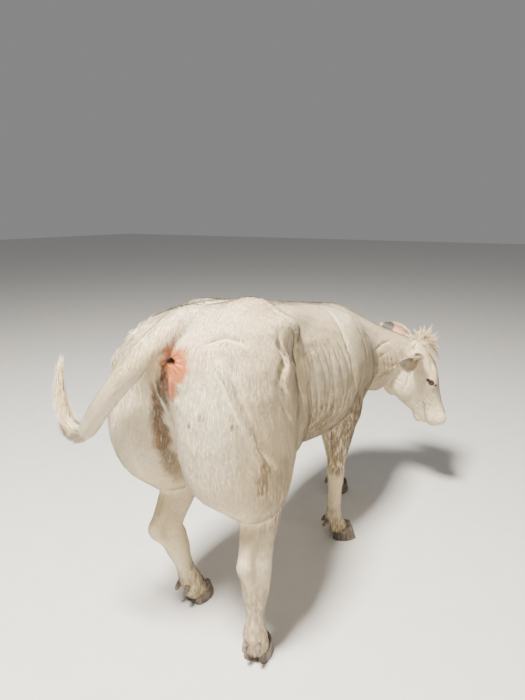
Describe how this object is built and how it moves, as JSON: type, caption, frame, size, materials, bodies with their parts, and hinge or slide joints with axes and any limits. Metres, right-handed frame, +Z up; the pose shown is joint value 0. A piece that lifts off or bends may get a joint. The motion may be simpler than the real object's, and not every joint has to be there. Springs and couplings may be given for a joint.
{
  "type": "belgian blue cow",
  "caption": "Life-size still model of a double-muscled white cow walking, head turned down to the right and tail flicked to the left.",
  "frame": {"origin": "middle of the model's box, at floor level under the feet", "axes": "+X from the rump to the shoulders, +Y to the animal's left, +Z up"},
  "size_m": [1.993, 0.9938, 1.3816],
  "materials": {
    "coat": "short cream-white hair, matt",
    "leg_coat": "short cream hair, soiled, matt",
    "tail_hair": "long cream hair, matt",
    "ear_skin": "thin pink skin under short hair",
    "hoof_horn": "dull dark horn",
    "eye": "wet and glossy"
  },
  "bodies": {
    "root": {"torso": "coat", "neck": "coat", "head": "coat", "tail_base": "tail_hair", "tail_mid": "tail_hair", "tail_end": "tail_hair", "ear_left": "ear_skin", "ear_right": "ear_skin", "eye_left": "eye", "eye_right": "eye", "leg_fore_left": "leg_coat", "leg_fore_right": "leg_coat", "leg_hind_left": "leg_coat", "leg_hind_right": "leg_coat", "claw_fore_left_left": "hoof_horn", "claw_fore_left_right": "hoof_horn", "claw_fore_right_left": "hoof_horn", "claw_fore_right_right": "hoof_horn", "claw_hind_left_left": "hoof_horn", "claw_hind_left_right": "hoof_horn", "claw_hind_right_left": "hoof_horn", "claw_hind_right_right": "hoof_horn", "dewclaw_fore_left_left": "hoof_horn", "dewclaw_fore_left_right": "hoof_horn", "dewclaw_fore_right_left": "hoof_horn", "dewclaw_fore_right_right": "hoof_horn", "dewclaw_hind_left_left": "hoof_horn", "dewclaw_hind_left_right": "hoof_horn", "dewclaw_hind_right_left": "hoof_horn", "dewclaw_hind_right_right": "hoof_horn"}
  },
  "joints": []
}
